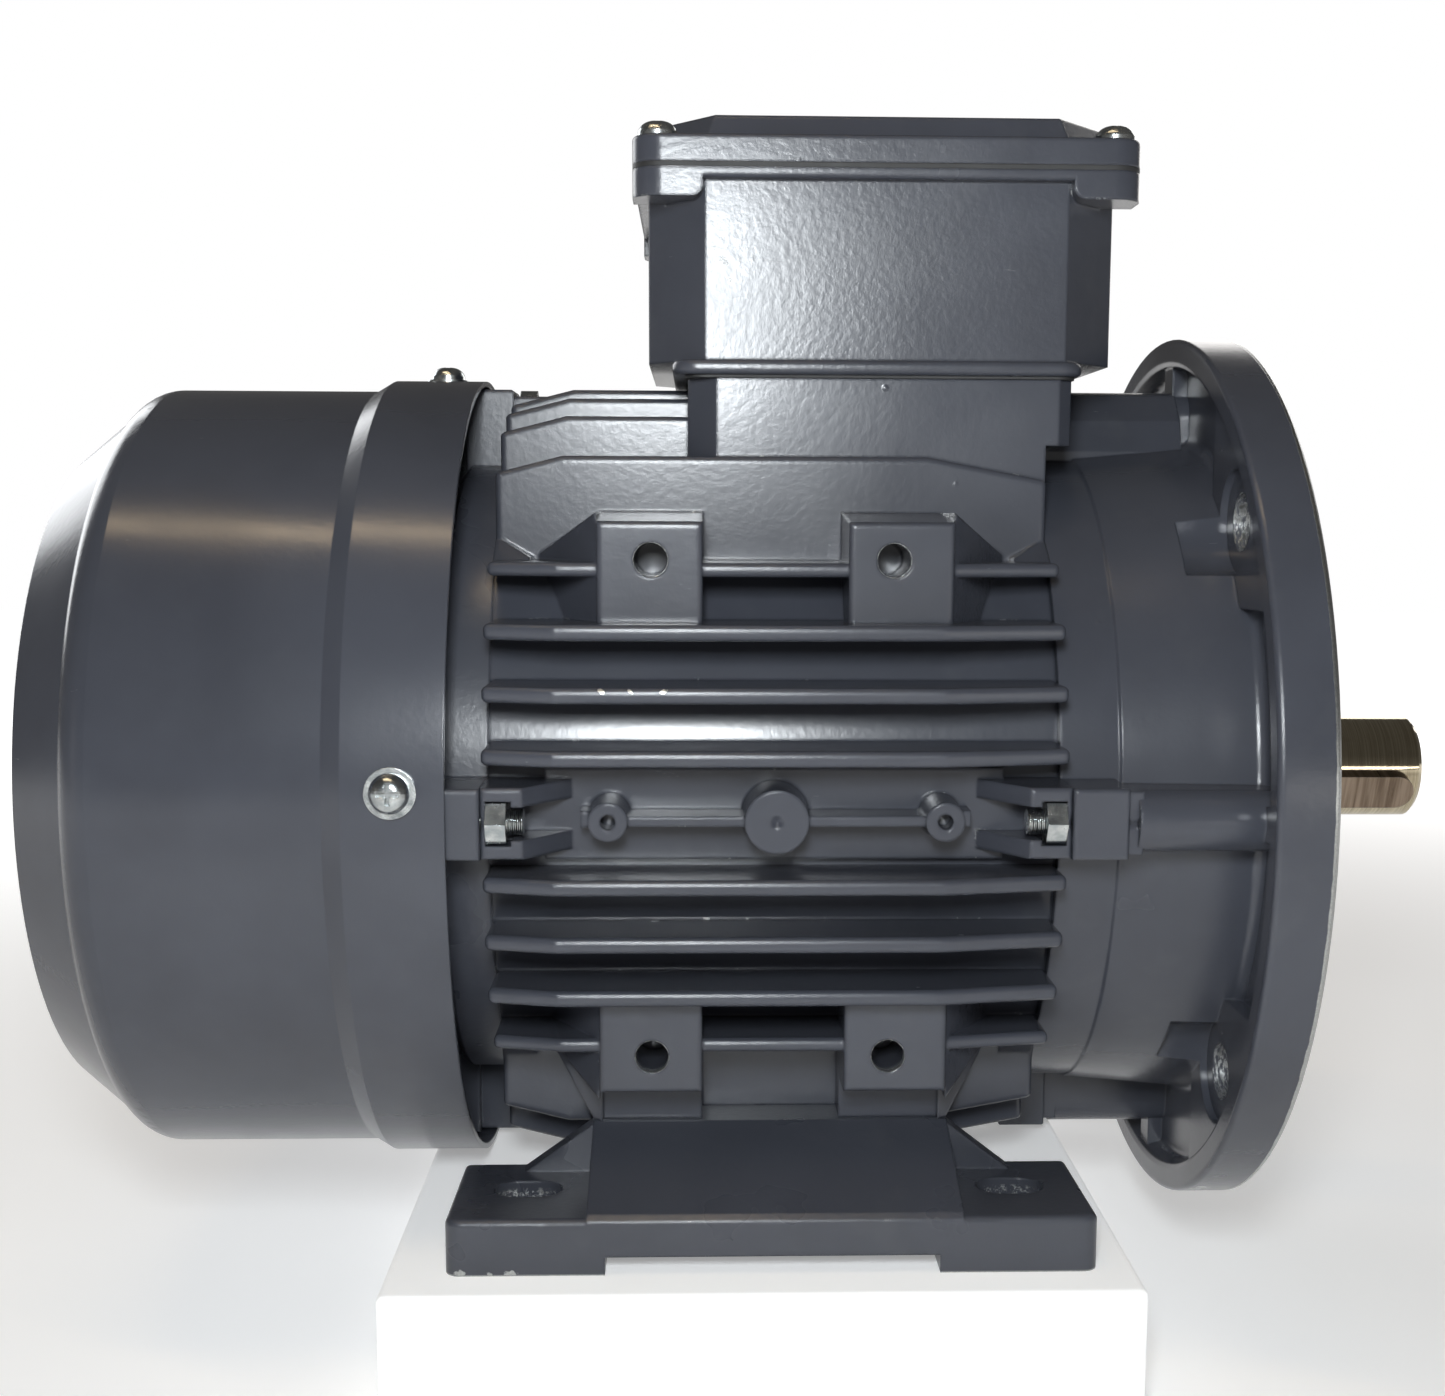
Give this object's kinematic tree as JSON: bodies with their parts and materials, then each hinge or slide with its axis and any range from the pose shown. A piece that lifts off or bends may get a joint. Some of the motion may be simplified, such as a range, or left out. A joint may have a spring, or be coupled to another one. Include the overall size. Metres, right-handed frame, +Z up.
{
  "type": "electric motor",
  "caption": "Foot and flange mounted induction motor with a finned aluminium housing, fan cover and top terminal box.",
  "frame": {"origin": "on the shaft axis, in the plane of the flange's mounting face, where the shaft's free end starts", "axes": "+X along the shaft towards the drive end, +Z up, out of the terminal box lid"},
  "size_m": [0.311, 0.2, 0.2405],
  "materials": {
    "housing_paint": "glossy dark slate enamel, light orange peel",
    "drive_shield_paint": "glossy dark slate enamel, light orange peel",
    "rear_shield_paint": "glossy dark slate enamel, light orange peel",
    "foot_paint": "glossy dark slate enamel, light orange peel",
    "box_paint": "glossy dark slate enamel, light orange peel",
    "cover_paint": "glossy dark slate enamel, light orange peel",
    "zinc": "bright zinc plate",
    "shaft_steel": "ground, lightly oiled",
    "key_steel": "drawn key steel, lightly oiled",
    "bearing_steel": "polished",
    "cage_steel": "pressed steel",
    "spring_steel": "blued spring steel",
    "laminations": "stacked laminations",
    "cast_aluminium": "as cast",
    "copper_wire": "enamelled copper, varnished",
    "lead_insulation": "silicone insulation",
    "brass": "satin brass",
    "tinned_brass": "tin plate",
    "fan_plastic": "moulded, dull",
    "block_plastic": "moulded thermoset",
    "plug_plastic": "moulded",
    "seal_rubber": "matt"
  },
  "bodies": {
    "frame": {"stator_housing": "housing_paint", "drive_end_shield": "drive_shield_paint", "rear_end_shield": "rear_shield_paint", "near_foot": "foot_paint", "far_foot": "foot_paint", "terminal_box": "box_paint", "terminal_lid": "box_paint", "fan_cover": "cover_paint", "fan_cover_screws": "zinc", "fan_cover_washers": "zinc", "drive_tie_bolts": "zinc", "drive_tie_nuts": "zinc", "rear_tie_bolts": "zinc", "rear_tie_nuts": "zinc", "foot_bolts": "zinc", "foot_washers": "zinc", "lid_screws": "zinc", "box_screws": "zinc", "block_screws": "zinc", "earth_screw": "zinc", "earth_clamp": "zinc", "drive_bearing_outer_ring": "bearing_steel", "rear_bearing_outer_ring": "bearing_steel", "drive_bearing_shields": "cage_steel", "rear_bearing_shields": "cage_steel", "wave_washer": "spring_steel", "stator_core": "laminations", "stator_windings": "copper_wire", "motor_leads": "lead_insulation", "terminal_studs": "brass", "terminal_links": "brass", "terminal_nuts": "brass", "lead_lugs": "tinned_brass", "terminal_block": "block_plastic", "cable_plugs": "plug_plastic", "shaft_seal": "seal_rubber", "rear_seal": "seal_rubber", "box_gasket": "seal_rubber", "lid_gasket": "seal_rubber", "plug_seals": "seal_rubber"},
    "rotor": {"shaft": "shaft_steel", "shaft_key": "key_steel", "rotor_core": "laminations", "rotor_cage": "cast_aluminium", "drive_bearing_inner_ring": "bearing_steel", "rear_bearing_inner_ring": "bearing_steel", "cooling_fan": "fan_plastic", "fan_clip": "spring_steel"},
    "drive_balls": {"drive_bearing_balls": "bearing_steel", "drive_bearing_cage": "cage_steel"},
    "rear_balls": {"rear_bearing_balls": "bearing_steel", "rear_bearing_cage": "cage_steel"}
  },
  "joints": [
    {"name": "rotor_spin", "type": "hinge", "parent": "frame", "child": "rotor", "pos_m": [0, 0, 0], "axis": [1, 0, 0], "continuous": true},
    {"name": "drive_balls_spin", "type": "hinge", "parent": "frame", "child": "drive_balls", "pos_m": [0, 0, 0], "axis": [1, 0, 0], "continuous": true},
    {"name": "rear_balls_spin", "type": "hinge", "parent": "frame", "child": "rear_balls", "pos_m": [0, 0, 0], "axis": [1, 0, 0], "continuous": true}
  ],
  "couplings": [
    {"joint": "drive_balls_spin", "follows": "rotor_spin", "ratio": 0.398},
    {"joint": "rear_balls_spin", "follows": "rotor_spin", "ratio": 0.398}
  ]
}
